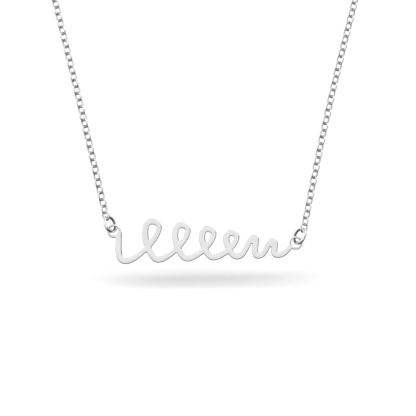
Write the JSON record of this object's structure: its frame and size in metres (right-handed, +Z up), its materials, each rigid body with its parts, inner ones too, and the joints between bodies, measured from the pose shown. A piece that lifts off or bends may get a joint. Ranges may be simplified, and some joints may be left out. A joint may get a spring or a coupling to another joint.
{
  "type": "nameplate necklace",
  "caption": "Fine cable-chain necklace as a closed loop, with a flat pen-stroke plate held at both ends by jump rings and a ring clasp at the nape.",
  "frame": {"origin": "point where the loop rests on the nape, between the clasp and the ring that it hooks", "axes": "+X to the right as seen from the front, -Y to the front where the plate hangs, +Z up"},
  "size_m": [0.0906, 0.0817, 0.0987],
  "materials": {
    "plate": "polished silver sheet with softly rounded edges",
    "rings": "bright polished silver wire",
    "chain": "bright polished silver wire"
  },
  "bodies": {
    "chain": {"chain_left": "chain", "chain_right": "chain", "clasp": "rings", "end_ring": "rings"},
    "pendant": {"nameplate": "plate", "jump_ring_left": "rings", "jump_ring_right": "rings"}
  },
  "joints": [
    {"name": "pendant_swing", "type": "hinge", "parent": "chain", "child": "pendant", "pos_m": [-0.02065, -0.078, -0.08309], "axis": [0.998, 0, -0.0627], "range_deg": [-35, 10]}
  ]
}
